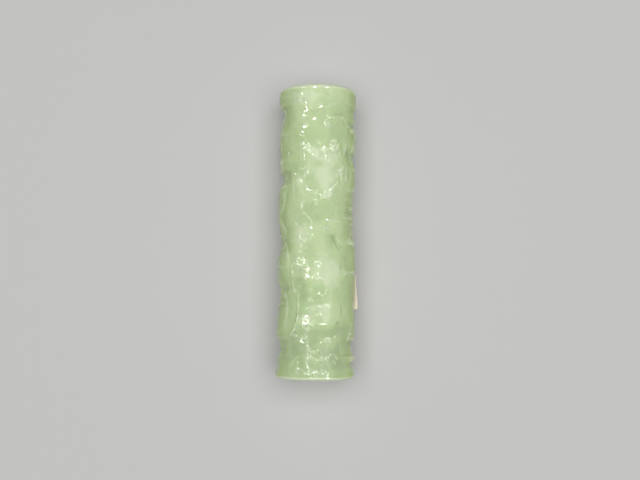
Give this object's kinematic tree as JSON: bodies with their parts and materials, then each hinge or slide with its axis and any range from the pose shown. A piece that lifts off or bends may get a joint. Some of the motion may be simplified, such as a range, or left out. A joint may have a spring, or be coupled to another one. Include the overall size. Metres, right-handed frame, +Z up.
{
  "type": "carved jade column",
  "caption": "Round column of pale green polished jade, carved in relief with leaves and fruit between plain collars, lying on its side with a blank paper sticker on one flank.",
  "frame": {"origin": "middle of the base of the whole object's box, on the surface it lies on", "axes": "+Y along the column towards its taller collar, +Z up, +X towards the flank with the sticker"},
  "size_m": [0.0348, 0.12, 0.0324],
  "materials": {
    "jade": "polished, cloudy pale green, a little translucent",
    "paper": "matt uncoated cream paper, blank"
  },
  "bodies": {
    "root": {"carved_column": "jade", "paper_sticker": "paper"}
  },
  "joints": []
}
